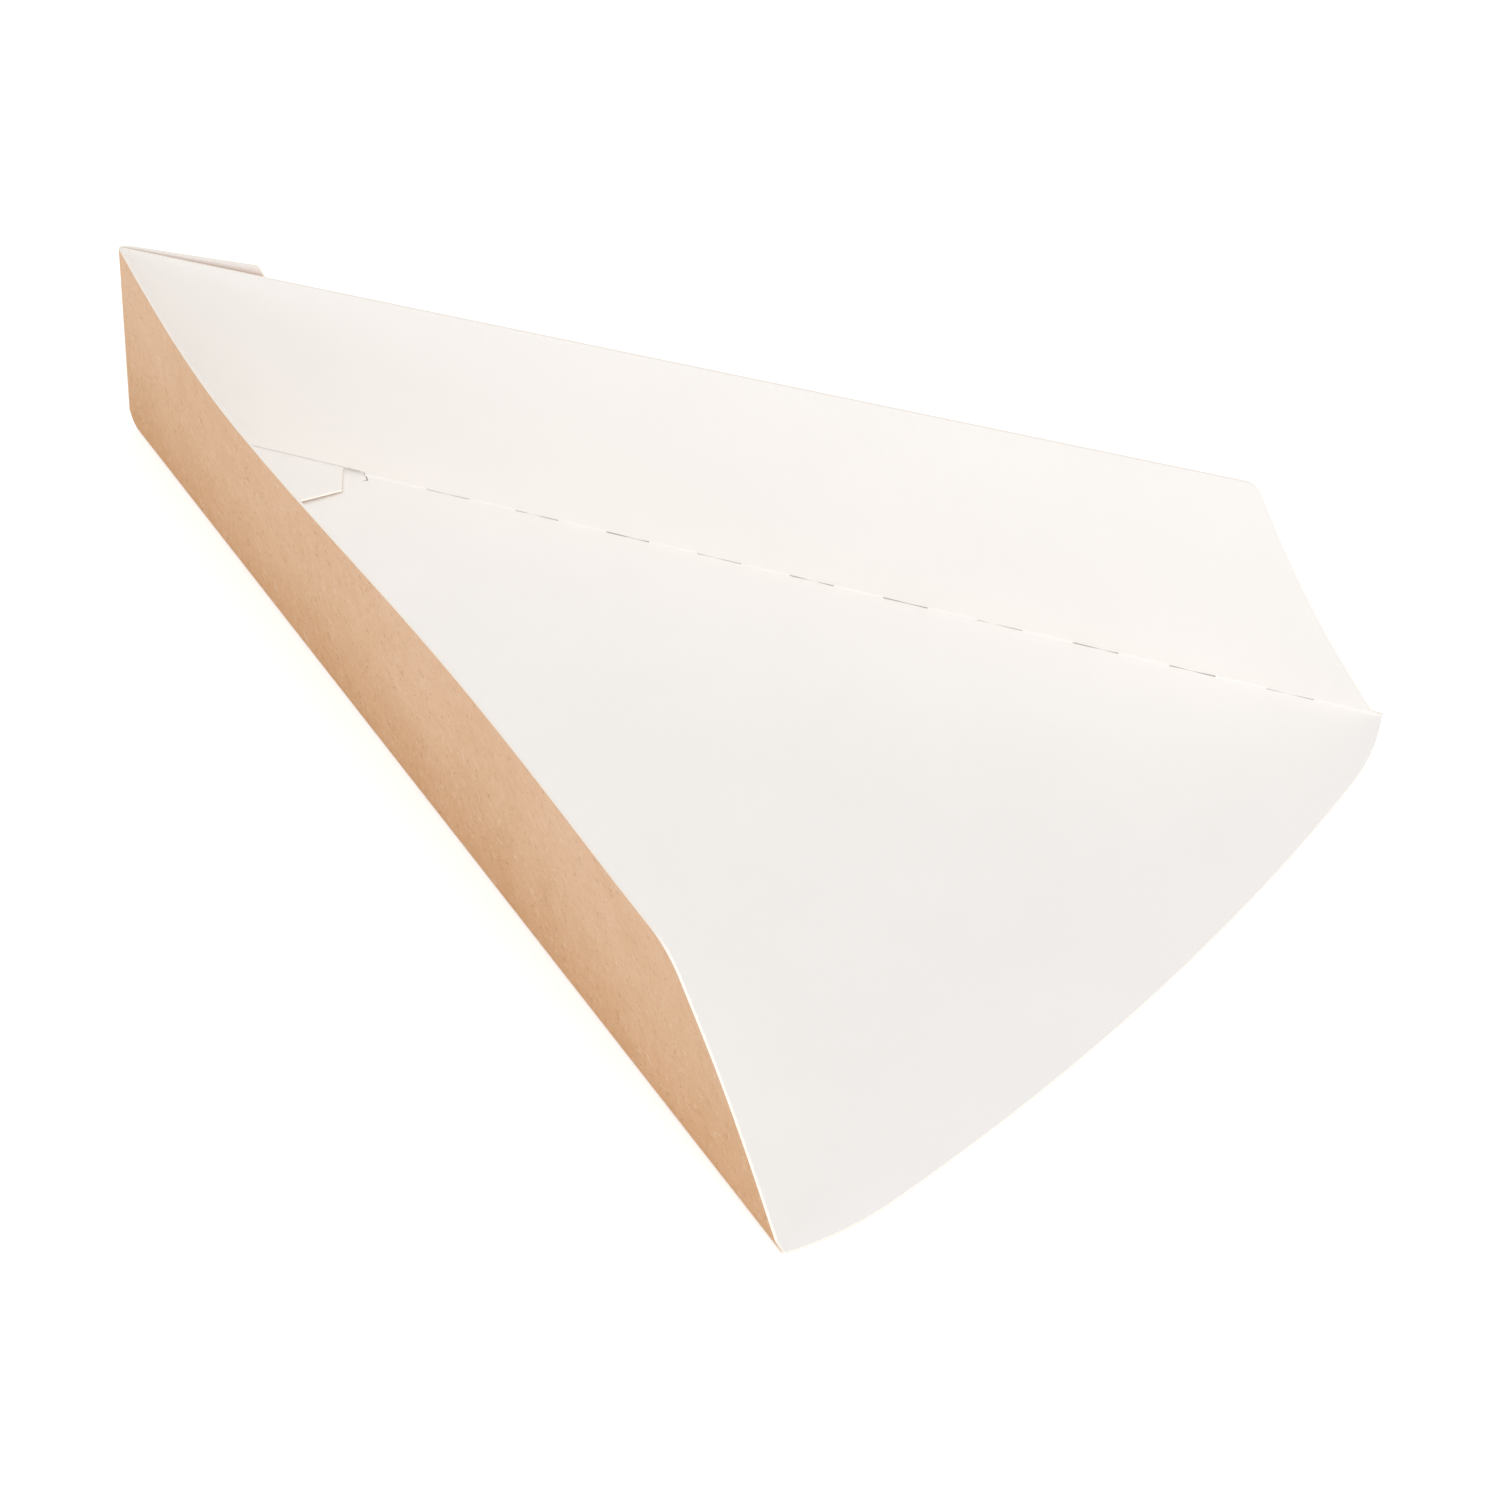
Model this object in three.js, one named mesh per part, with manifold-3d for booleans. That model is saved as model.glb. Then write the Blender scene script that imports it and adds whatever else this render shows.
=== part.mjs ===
// Pizza slice tray: one die-cut sheet of paperboard, white inside and kraft brown outside.
// A wedge base carries two walls that are folded up along its creases. The near wall runs on
// round the apex into a lock flap behind the far wall, and the flap's tab comes back in through
// a slot at the foot of the far wall and lies on the base.
// Millimetres, +Z up, +X along the middle of the wedge from the apex to the open front.

import * as THREE from "three";
import { mergeVertices } from "three/addons/utils/BufferGeometryUtils.js";
import Module from "manifold-3d";

// Board
const BOARD = 0.4; // thickness of the sheet
const FOLD_RADIUS = 0.3; // inside radius of every fold
const CLEARANCE = 0.3; // gap between faces of the sheet that pass each other

// Wedge base
const CREASE_LENGTH = 228.9; // apex to front corner, along each crease
const WEDGE_ANGLE = 40.1; // degrees between the two creases
const APEX_RELIEF = 2.5; // the base starts this far from the apex
const FRONT_RADIUS = 475; // middle of the front edge
const FRONT_END_RADIUS = 55; // rounder ends of the front edge
const FRONT_END_SPAN = 17.6; // width of each rounder end, across the tray
const ORIGIN_FROM_APEX = 150; // the origin lies on the underside, on the middle line

// Walls
const HEIGHT_AT_APEX = 37.5;
const HEIGHT_AT_FRONT = 41.8;
const FRONT_SETBACK = 25.6; // front corner of the base to the top corner of a wall
const FOOT_SETBACK = 2; // front corner of the base to where a wall's front edge rises
const FRONT_HOLLOW = 0.8; // how far the front edge of a wall is hollow between its ends
const FAR_CORNER = 2; // rounded length at the far wall's top corner
const NEAR_CORNER = 5; // rounded length at the near wall's top corner
const FAR_SPLAY = -1; // degrees out from upright
// The near wall is bowed: it leans in at the apex, then out, less so and out again to the front.
const NEAR_AT_APEX = -0.7; // degrees out from upright
const NEAR_BULGE_AT = 62;
const NEAR_BULGE = 6.75; // degrees out from upright
const NEAR_WAIST_AT = 135;
const NEAR_WAIST = 4.7; // degrees out from upright
const NEAR_FRONT_AT = 214;
const NEAR_FRONT = 6.9; // degrees out from upright

// Perforation slits along the far crease
const SLIT_LENGTH = 8;
const SLIT_WIDTH = 0.4;
const SLIT_PITCH = 16.9;
const SLIT_MARGIN = 11.7; // last slit to the front corner
const SLOT_TO_SLITS = 10; // at least this much between the slot and the first slit

// Slot at the foot of the far wall
const SLOT_START = 8;
const SLOT_END = 45.4;
const KNIFE_GAP = 0.3; // gap at each end of the strip below the slot

// Lock flap behind the far wall
const FLAP_TOP_LENGTH = 26.7;
const FLAP_FOOT_LENGTH = 44.2;
const FLAP_SPRING = 1.9; // how far the top of the free edge springs away from the wall

// Tab at the foot of the flap
const TAB_START = 13.5;
const TAB_END = 41.1;
const TAB_EAR = 2.5; // forward reach of the locking ear
const TAB_EAR_DEPTH = 6.3;
const TAB_DEPTH = 13.5;
const TAB_CHAMFER = 6.9; // how far the front end leans back past the ear
const TAB_TAPER = 9; // how far the rear end leans forward
const TAB_LIFT = 3; // degrees up from the base

// Fineness of the mesh
const FOLD_STEPS = 3;
const APEX_STEPS = 8;
const EDGE_ROWS = 5;
const CORNER_STEPS = 4;
const RELIEF_COLUMNS = 2;
const SLOT_REAR_COLUMNS = 1;
const SLOT_COLUMNS = 6;
const WALL_COLUMNS = 24;
const FLAP_REAR_COLUMNS = 3;
const TAB_COLUMNS = 7;
const FRONT_STEPS = 14;
const FRONT_END_STEPS = 6;

const { degToRad, lerp } = THREE.MathUtils;
const wedge = degToRad(WEDGE_ANGLE);
const up = new THREE.Vector3(0, 0, 1);
const side = (sign) => ({
  along: new THREE.Vector3(Math.cos(wedge / 2), sign * Math.sin(wedge / 2), 0),
  out: new THREE.Vector3(-Math.sin(wedge / 2), sign * Math.cos(wedge / 2), 0),
});
const far = side(1);
const near = side(-1);
const tabRise = CLEARANCE + BOARD; // from the base's inside face to the tab's upper face
const flapFoot = tabRise + FOLD_RADIUS; // where the tab's fold starts on the flap
const slotTop = tabRise + CLEARANCE; // cut edge of the far wall above the slot
const flapOffset = BOARD + CLEARANCE; // from the far crease to the flap's inside face

const steps = (count) => Array.from({ length: count + 1 }, (_, k) => k / count);
const stretch = (from, to, count) => steps(count).slice(1).map((q) => lerp(from, to, q));

// The sheet is made of places, each with a point on the inside and one on the outside face, and
// of triangles between them. Neighbouring stretches of the sheet share the places where they meet.
class Sheet {
  constructor() {
    this.triangles = [];
  }

  // Rows of places from the near wall's top towards the far wall's top, each row from the apex
  // towards the front.
  grid(rows) {
    for (let j = 1; j < rows.length; j++) {
      for (let i = 1; i < rows[j].length; i++) {
        const [a, b] = [rows[j - 1][i - 1], rows[j - 1][i]];
        const [c, d] = [rows[j][i], rows[j][i - 1]];
        this.triangles.push([a, b, c], [a, c, d]);
      }
    }
  }

  // A flat panel with no hollow corner.
  fan(places) {
    for (let k = 2; k < places.length; k++) {
      this.triangles.push([places[0], places[k - 1], places[k]]);
    }
  }

  // Both faces of the sheet, joined by its cut edges into one closed mesh.
  geometry() {
    const places = [...new Set(this.triangles.flat())];
    const number = new Map(places.map((place, k) => [place, k]));
    const count = places.length;
    const edges = new Map();
    const faces = [];
    for (const triangle of this.triangles) {
      const [a, b, c] = triangle.map((place) => number.get(place));
      faces.push([a, b, c], [a + count, c + count, b + count]);
      [[a, b], [b, c], [c, a]].forEach(([p, q]) => edges.set(`${p},${q}`, [p, q]));
    }
    for (const [p, q] of edges.values()) {
      if (!edges.has(`${q},${p}`)) {
        faces.push([q, p, p + count], [q, p + count, q + count]);
      }
    }
    const points = [...places.map((place) => place.inside), ...places.map((place) => place.outside)];
    return new THREE.BufferGeometry().setFromPoints(points).setIndex(faces.flat());
  }
}

// How far the near wall leans out at a distance along its crease.
function nearSplay(s) {
  const part = (from, to) => THREE.MathUtils.clamp((s - from) / (to - from), 0, 1);
  const easeSine = (x) => Math.sin(Math.PI / 2 * x);
  const easeCosine = (x) => (1 - Math.cos(Math.PI * x)) / 2;
  const bulge = lerp(NEAR_AT_APEX, NEAR_BULGE, easeSine(part(0, NEAR_BULGE_AT)));
  const waist = (NEAR_WAIST - NEAR_BULGE) * easeCosine(part(NEAR_BULGE_AT, NEAR_WAIST_AT));
  const front = (NEAR_FRONT - NEAR_WAIST) * easeCosine(part(NEAR_WAIST_AT, NEAR_FRONT_AT));
  return degToRad(bulge + waist + front);
}

const farSplay = () => degToRad(FAR_SPLAY);

// Length from the crease line to where its fold ends, on each panel beside it.
const foldReach = (turn) => FOLD_RADIUS * Math.tan(turn / 2);
const wallFoot = (splay, s) => foldReach(Math.PI / 2 - splay(s));

// A point in the upright section across a crease: out from the crease line, and up from the
// inside face of the base.
function sectionPoint(edge, s, out, height) {
  return edge.along.clone().multiplyScalar(s)
    .addScaledVector(edge.out, out)
    .addScaledVector(up, BOARD + height);
}

// A place in the fold between the base and a wall, part 0 at the base and 1 at the wall.
function foldPlace(edge, splay, s, part) {
  const turn = Math.PI / 2 - splay(s);
  const angle = part * turn;
  const at = (radius) => sectionPoint(edge, s,
    radius * Math.sin(angle) - foldReach(turn), FOLD_RADIUS - radius * Math.cos(angle));
  return { inside: at(FOLD_RADIUS), outside: at(FOLD_RADIUS + BOARD) };
}

// A place on a wall, v up along the wall from the crease line.
function wallPlace(edge, splay, s, v) {
  const lean = splay(s);
  const inside = sectionPoint(edge, s, v * Math.sin(lean), v * Math.cos(lean));
  const outside = inside.clone()
    .addScaledVector(edge.out, BOARD * Math.cos(lean))
    .addScaledVector(up, -BOARD * Math.sin(lean));
  return { inside, outside };
}

// Height of the walls and the flap, rising in a straight line from the apex to the front.
function wallHeight(s) {
  return lerp(HEIGHT_AT_APEX, HEIGHT_AT_FRONT, s / (CREASE_LENGTH - FRONT_SETBACK));
}

// Height at a share of the way from a foot to the top edge.
const rowHeight = (foot, s, share) => lerp(foot, wallHeight(s), share);

// Rows of a wall: where each ends at the front, and its share of the height above a foot. They
// follow the front edge, which is a little hollow, and then the rounded corner.
function wallRows(foot, cornerLength) {
  const start = new THREE.Vector2(CREASE_LENGTH - FOOT_SETBACK, slotTop);
  const corner = new THREE.Vector2(CREASE_LENGTH - FRONT_SETBACK, HEIGHT_AT_FRONT);
  const edge = corner.clone().sub(start);
  const inward = new THREE.Vector2(-edge.y, edge.x).normalize();
  const hollow = start.clone().addScaledVector(edge, 0.5).addScaledVector(inward, 2 * FRONT_HOLLOW);
  const down = hollow.clone().sub(corner).setLength(cornerLength);
  const back = new THREE.Vector2(0, HEIGHT_AT_APEX).sub(corner).setLength(cornerLength);
  const cornerStart = corner.clone().add(down);
  const straight = new THREE.QuadraticBezierCurve(start, hollow, cornerStart);
  const round = new THREE.QuadraticBezierCurve(cornerStart, corner, corner.clone().add(back));
  return [...straight.getPoints(EDGE_ROWS), ...round.getPoints(CORNER_STEPS).slice(1)]
    .map(({ x: front, y: v }) => ({ front, share: (v - foot) / (wallHeight(front) - foot) }));
}

// Distances from the apex at which both walls and the base are divided.
const stripStart = SLOT_START + KNIFE_GAP;
const stripEnd = SLOT_END - KNIFE_GAP;
const stations = [
  APEX_RELIEF,
  ...stretch(APEX_RELIEF, SLOT_START, SLOT_REAR_COLUMNS),
  stripStart,
  ...stretch(stripStart, stripEnd, SLOT_COLUMNS),
  SLOT_END,
  ...stretch(SLOT_END, CREASE_LENGTH, WALL_COLUMNS),
];
const between = (row, from, to) => row.slice(stations.indexOf(from), stations.indexOf(to) + 1);

// The same station in a row that starts and ends elsewhere.
function shifted(station, start, front) {
  return lerp(start, front, (station - APEX_RELIEF) / (CREASE_LENGTH - APEX_RELIEF));
}

const foldRows = (edge, splay) => steps(FOLD_STEPS)
  .map((part) => stations.map((s) => foldPlace(edge, splay, s, part)));

// Far wall with the slot at its foot. The strip below the slot stays flat with the base. At the
// apex the wall stops short of the near wall.
function addFarWall(sheet) {
  const fold = foldRows(far, farSplay);
  const rear = (v) => (CLEARANCE - Math.cos(wedge) * v * Math.sin(farSplay())) / Math.sin(wedge);
  const wall = wallRows(slotTop, FAR_CORNER).map(({ front, share }) => {
    const start = share ? rear(rowHeight(slotTop, 0, share)) : APEX_RELIEF;
    return stations.map((station) => {
      const s = shifted(station, start, front);
      return wallPlace(far, farSplay, s, rowHeight(slotTop, s, share));
    });
  });
  const lower = [...fold, wall[0]];
  sheet.grid(lower.map((row) => between(row, APEX_RELIEF, SLOT_START)));
  sheet.grid(lower.map((row) => between(row, SLOT_END, CREASE_LENGTH)));
  sheet.grid(wall);
  const strip = between(stations, stripStart, stripEnd).map((s) => ({
    inside: sectionPoint(far, s, slotTop, 0),
    outside: sectionPoint(far, s, slotTop, -BOARD),
  }));
  sheet.grid([between(fold[0], stripStart, stripEnd), strip]);
  return fold[0];
}

// How far the flap turns away from the far wall at a height.
const flapAngle = (v) => Math.atan(FLAP_SPRING / FLAP_TOP_LENGTH * v / HEIGHT_AT_APEX);

// Where the flap's inside face lies at the apex, out from the far crease. It leans as the far
// wall does.
const flapOut = (v) => flapOffset + v * Math.sin(farSplay());

// The upright fold at the apex, at a height: its centre, how far it turns and where, along the
// near crease, the wall passes into it.
function apexFold(v) {
  const away = Math.tan(flapAngle(v));
  const turn = Math.PI - wedge - flapAngle(v);
  const nearOut = v * Math.sin(nearSplay(foldReach(turn)));
  const corner = -(flapOut(v) + nearOut * (Math.cos(wedge) - away * Math.sin(wedge)))
    / (Math.sin(wedge) + away * Math.cos(wedge));
  const wallEnd = corner + foldReach(turn);
  const centre = near.along.clone().multiplyScalar(wallEnd)
    .addScaledVector(near.out, nearOut - FOLD_RADIUS);
  return { turn, centre, wallEnd };
}

function apexPlace(v, part) {
  const { turn, centre } = apexFold(v);
  const outward = near.out.clone().applyAxisAngle(up, -part * turn);
  const at = (radius) => centre.clone()
    .addScaledVector(outward, radius)
    .addScaledVector(up, BOARD + v);
  return { inside: at(FOLD_RADIUS), outside: at(FOLD_RADIUS + BOARD) };
}

function flapPlace(s, v) {
  const inside = sectionPoint(far, s, flapOut(v) + s * Math.tan(flapAngle(v)), v);
  const outward = far.out.clone().applyAxisAngle(up, flapAngle(v));
  return { inside, outside: inside.clone().addScaledVector(outward, BOARD) };
}

// Where the flap leaves the apex fold, along the far crease.
const flapStart = (v) => apexPlace(v, 1).inside.dot(far.along);

// Columns of the flap at its foot, with the two ends of the tab among them.
const flapColumns = [
  ...stretch(flapStart(flapFoot), TAB_START, FLAP_REAR_COLUMNS),
  ...stretch(TAB_START, TAB_END, TAB_COLUMNS),
  FLAP_FOOT_LENGTH,
];

// One row of the near wall, the apex fold and the flap, from the flap's free edge to the front.
function bandRow({ front, share }) {
  const atApex = rowHeight(flapFoot, 0, share);
  const wall = stations.map((station) => {
    const s = shifted(station, APEX_RELIEF, front);
    return wallPlace(near, nearSplay, s, rowHeight(wallFoot(nearSplay, s), s, share));
  });
  const relief = stretch(0, 1, RELIEF_COLUMNS).map((q) => {
    const s = lerp(APEX_RELIEF, apexFold(atApex).wallEnd, q);
    const foot = lerp(wallFoot(nearSplay, s), flapFoot, q);
    return wallPlace(near, nearSplay, s, rowHeight(foot, lerp(s, 0, q), share));
  });
  const fold = stretch(0, 1, APEX_STEPS).map((part) => apexPlace(atApex, part));
  const flapEnd = lerp(FLAP_FOOT_LENGTH, FLAP_TOP_LENGTH, share);
  const flap = flapColumns.map((column) => {
    const start = flapStart(flapFoot);
    const q = (column - start) / (FLAP_FOOT_LENGTH - start);
    const s = lerp(flapStart(atApex), flapEnd, q);
    return flapPlace(s, rowHeight(flapFoot, s * q, share));
  });
  return [...[...relief, ...fold, ...flap].reverse(), ...wall];
}

// Tab, folded in from the foot of the flap.
function addTab(sheet, root) {
  const turn = Math.PI / 2 + degToRad(TAB_LIFT);
  const centreOut = flapOffset - FOLD_RADIUS;
  const tabPlace = (s, angle, length) => {
    const at = (radius) => sectionPoint(far, s,
      centreOut + radius * Math.cos(angle) - length * Math.sin(angle),
      flapFoot - radius * Math.sin(angle) - length * Math.cos(angle));
    return { inside: at(FOLD_RADIUS), outside: at(FOLD_RADIUS + BOARD) };
  };
  const columns = stretch(TAB_END, TAB_START, TAB_COLUMNS);
  const fold = stretch(0, turn, FOLD_STEPS)
    .map((angle) => [TAB_END, ...columns].map((s) => tabPlace(s, angle, 0)));
  const rows = [
    { depth: TAB_EAR_DEPTH, end: TAB_END + TAB_EAR },
    { depth: TAB_DEPTH, end: TAB_END + TAB_EAR - TAB_CHAMFER },
  ].map(({ depth, end }) => {
    const start = TAB_START + TAB_TAPER * depth / TAB_DEPTH;
    return [end, ...stretch(end, start, TAB_COLUMNS)]
      .map((s) => tabPlace(s, turn, centreOut + depth));
  });
  sheet.grid([root, ...fold, ...rows]);
}

// Near wall, apex fold, flap and tab.
function addNearWall(sheet) {
  const foot = wallFoot(nearSplay, CREASE_LENGTH);
  const rows = [{ front: CREASE_LENGTH, share: 0 }, ...wallRows(foot, NEAR_CORNER)];
  const band = rows.map(bandRow);
  const fold = foldRows(near, nearSplay);
  const wallStart = band[0].length - stations.length;
  fold[FOLD_STEPS] = band[0].slice(wallStart);
  sheet.grid(band.reverse());
  sheet.grid(fold.reverse());
  addTab(sheet, band.at(-1).slice(1, TAB_COLUMNS + 2));
  return fold.at(-1);
}

// Front edge of the base, a three-centred curve between the front corners, from near to far.
function frontEdge(corner) {
  const innerEnd = corner.y - FRONT_END_SPAN;
  const middle = Math.asin(innerEnd / FRONT_RADIUS);
  const endCentreY = innerEnd - FRONT_END_RADIUS * Math.sin(middle);
  const cornerAngle = Math.asin((corner.y - endCentreY) / FRONT_END_RADIUS);
  const endCentreX = corner.x - FRONT_END_RADIUS * Math.cos(cornerAngle);
  const middleCentreX = endCentreX - (FRONT_RADIUS - FRONT_END_RADIUS) * Math.cos(middle);
  const arc = (x, y, radius, angles) => angles.map((angle) => {
    const at = (z) => new THREE.Vector3(x + radius * Math.cos(angle), y + radius * Math.sin(angle), z);
    return { inside: at(BOARD), outside: at(0) };
  });
  const nearEnd = stretch(-cornerAngle, -middle, FRONT_END_STEPS);
  const farEnd = stretch(middle, cornerAngle, FRONT_END_STEPS).slice(0, -1);
  return [
    ...arc(endCentreX, -endCentreY, FRONT_END_RADIUS, nearEnd),
    ...arc(middleCentreX, 0, FRONT_RADIUS, stretch(-middle, middle, FRONT_STEPS)),
    ...arc(endCentreX, endCentreY, FRONT_END_RADIUS, farEnd),
  ];
}

function buildSheet() {
  const sheet = new Sheet();
  const farCrease = addFarWall(sheet);
  const nearCrease = addNearWall(sheet);
  sheet.grid([nearCrease, farCrease]);
  sheet.fan([nearCrease.at(-1), ...frontEdge(farCrease.at(-1).inside), farCrease.at(-1)]);
  return sheet.geometry();
}

const wasm = await Module();
wasm.setup();

function toSolid(source) {
  const bare = source.clone();
  bare.deleteAttribute("normal");
  bare.deleteAttribute("uv");
  const merged = mergeVertices(bare);
  return new wasm.Manifold(new wasm.Mesh({
    numProp: 3,
    vertProperties: merged.attributes.position.array,
    triVerts: new Uint32Array(merged.index.array),
  }));
}

function toGeometry(solid) {
  const mesh = solid.getMesh();
  const geometry = new THREE.BufferGeometry();
  geometry.setAttribute("position", new THREE.BufferAttribute(mesh.vertProperties, 3));
  geometry.setIndex(new THREE.BufferAttribute(mesh.triVerts, 1));
  geometry.computeVertexNormals();
  return geometry;
}

// Boxes that cut the slits, tipped so that each opens the fold along its middle. They keep clear
// of the slot, so a longer pitch leaves fewer of them.
function slitTools() {
  const through = 2 * (FOLD_RADIUS + 2 * BOARD);
  const last = CREASE_LENGTH - SLIT_MARGIN - SLIT_LENGTH;
  const count = 1 + Math.floor((last - SLOT_END - SLOT_TO_SLITS) / SLIT_PITCH);
  return Array.from({ length: count }, (_, k) => {
    const box = new THREE.BoxGeometry(SLIT_LENGTH, through, SLIT_WIDTH);
    box.rotateX(-Math.PI / 4);
    box.translate(last - k * SLIT_PITCH + SLIT_LENGTH / 2, 0, BOARD);
    box.applyMatrix4(new THREE.Matrix4().makeBasis(far.along, far.out, up));
    return toSolid(box);
  });
}

const tray = slitTools().reduce((solid, tool) => solid.subtract(tool), toSolid(buildSheet()));

const board = new THREE.MeshStandardMaterial({ color: "#f1ece6", roughness: 0.85, metalness: 0 });
const mesh = new THREE.Mesh(toGeometry(tray), board);
mesh.name = "tray";
mesh.position.x = -ORIGIN_FROM_APEX;

const model = new THREE.Group();
model.add(mesh);

export default model;
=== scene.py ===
# Pizza slice tray: the folded board with its white inside, kraft outside and cream cut edges.
import math

import bpy
import numpy as np
from mathutils import Matrix, Vector


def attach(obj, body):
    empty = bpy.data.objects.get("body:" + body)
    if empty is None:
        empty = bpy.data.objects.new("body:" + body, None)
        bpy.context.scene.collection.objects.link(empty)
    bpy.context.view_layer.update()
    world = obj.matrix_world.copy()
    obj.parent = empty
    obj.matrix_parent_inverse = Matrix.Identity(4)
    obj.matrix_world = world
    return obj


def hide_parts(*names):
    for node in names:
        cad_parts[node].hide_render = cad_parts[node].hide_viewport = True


# Sizes in millimetres and degrees, the solid's own but for the four that give its value beside them
BOARD = 0.4
FOLD_RADIUS = 0.3
CLEARANCE = 0.12  # 0.3 in the solid, whose faces keep a gap for the simulation
CREASE_LENGTH = 228.9
WEDGE_ANGLE = 40.1
APEX_RELIEF = 2.5
FRONT_RADIUS = 475
FRONT_END_RADIUS = 55
FRONT_END_SPAN = 17.6
ORIGIN_FROM_APEX = 150
HEIGHT_AT_APEX = 37.5
HEIGHT_AT_FRONT = 41.8
FRONT_SETBACK = 25.6
FOOT_SETBACK = 2
FRONT_HOLLOW = 0.8
FAR_CORNER = 2
NEAR_CORNER = 5
FAR_SPLAY = -1  # lean of the far wall
NEAR_AT_APEX = -0.7  # leans of the near wall, and where along the crease each is reached
NEAR_BULGE_AT = 62
NEAR_BULGE = 6.75
NEAR_WAIST_AT = 135
NEAR_WAIST = 4.7
NEAR_FRONT_AT = 214
NEAR_FRONT = 6.9
SLIT_LENGTH = 8
SLIT_PITCH = 16.9
SLIT_MARGIN = 11.7
SLOT_TO_SLITS = 10
SLOT_START = 8
SLOT_END = 45.4
KNIFE_GAP = 0.3
FLAP_TOP_LENGTH = 27  # 26.7 in the solid
FLAP_FOOT_LENGTH = 44.2
FLAP_SPRING = 0.9  # 1.9 in the solid
TAB_START = 13.5
TAB_END = 41.1
TAB_EAR = 2.5
TAB_EAR_DEPTH = 6.3
TAB_DEPTH = 13.5
TAB_CHAMFER = 6.9
TAB_TAPER = 9
TAB_LIFT = 2  # 3 in the solid

# What only the look needs
WALL_CURL = 0.9  # how far each wall curls in at half height, at the front
APEX_FOOT = 2.2  # height at which the sheet is cut away under the upright fold
FLAP_CORNER = 0.6  # rounded length at the flap's free top corner
FLAP_CORNER_FADE = 8  # how soon that rounding fades out below the top
FLAP_RISE = 1.1  # how far the flap's free end stands above the wall
FLAP_END_FOOT = 0.12  # foot of the flap's free end, past the tab, clear of the base under it
APEX_GAP = 0.35  # between the far wall's upright end and the near wall
SLIT_DEPTH = 0.3  # a slit goes nearly through the board
SLIT_PARTS = [0, 0.2, 0.3, 0.35, 0.5, 0.65, 0.7, 0.8, 1]  # how a slit divides the fold
SLIT_SIDES = 2, 6  # which of those are its two lips
SLIT_END = 0.2  # length over which a slit opens
PINCH_LENGTH = 0.2  # share of its length over which a slit is pinched
HOOK_WIDTH = 0.36  # the short cut in the base at the slot's front end
HOOK_LEAN = 0.6  # how far that cut slants forwards, as a share of its distance from the crease
HOOK_DEPTH = 0.36
HOOK_ROWS = 2  # rows of the base that it is cut into
SHARP_ANGLE = 40  # where faces turn by more than this, the shading shows an edge

# Fineness of the mesh
COLUMN = 2.2  # widest column along a crease
BASE_ROWS = 56
EDGE_ROWS = 14
CORNER_STEPS = 8
APEX_STEPS = 14
FLAP_REAR_COLUMNS = 6
TAB_COLUMNS = 14
FLAP_END_COLUMNS = 6
TAB_ROWS = 5
TAB_FOLD_STEPS = 5
RELIEF_COLUMNS = 6  # near wall from the crease's start to the upright fold
FOLD_STEPS = 8
SLIT_COLUMNS = 10
REACH_ROUNDS = 8  # rounds of finding where a ray from the apex meets the front edge

# Colours as display levels, a darker and a lighter one where there are two
WHITE = (246, 243, 240), (250, 247, 244)
# kraft with painted shade, darker low down and paler high up
KRAFT_SHADED_LOW = (224, 177, 131), (231, 185, 141)
KRAFT_LIT_HIGH = (240, 199, 162), (245, 206, 172)
DARK_FIBRE = 176, 126, 84
LIGHT_FIBRE = 252, 226, 200
CUT_EDGE = (247, 240, 230), (252, 246, 238)
# painted shade: the grey of the slits, the short cut and the flap's foot behind the slot's gap
PAINTED_SHADE_GREY = 213, 210, 204
NOISE_SPAN = 0.3, 0.7  # nearly all values of a noise texture lie between these
SPECULAR_LEVEL = 0.25

# Floor and world, in metres and linear levels
FLOOR_LEVEL = 0.86
FLOOR_GLOW = 0.5  # added where the camera sees the floor
FLOOR_HALF = 4.0
FLOOR_DROP = 0.0002
WORLD_LEVEL = 0.72

# The camera that the creases, slits and corners of the photograph were fitted to
CAMERA_PLACE = 0.309795, -0.396950, 0.445162
CAMERA_AZIMUTH = 38.544
CAMERA_ELEVATION = 41.014
CAMERA_ROLL = 1.583
SENSOR_WIDTH = 36
LENS = 99.387

WEDGE = math.radians(WEDGE_ANGLE)
UP = np.array([0.0, 0.0, 1.0])
FAR = {
    "along": np.array([math.cos(WEDGE / 2), math.sin(WEDGE / 2), 0]),
    "out": np.array([-math.sin(WEDGE / 2), math.cos(WEDGE / 2), 0]),
}
NEAR = {
    "along": np.array([math.cos(WEDGE / 2), -math.sin(WEDGE / 2), 0]),
    "out": np.array([-math.sin(WEDGE / 2), -math.cos(WEDGE / 2), 0]),
}
TAB_RISE = CLEARANCE + BOARD
FLAP_FOOT = TAB_RISE + FOLD_RADIUS
SLOT_TOP = TAB_RISE + CLEARANCE
FLAP_OFFSET = BOARD + CLEARANCE


def lerp(a, b, q):
    return a + (b - a) * q


def stretch(start, end, count):
    """Equal steps from start to end, without the start itself."""
    return [lerp(start, end, k / count) for k in range(1, count + 1)]


def ease(x, start, end):
    """Goes smoothly from 0 at the start to 1 at the end."""
    q = min(max((x - start) / (end - start), 0), 1)
    return (1 - math.cos(math.pi * q)) / 2


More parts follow.
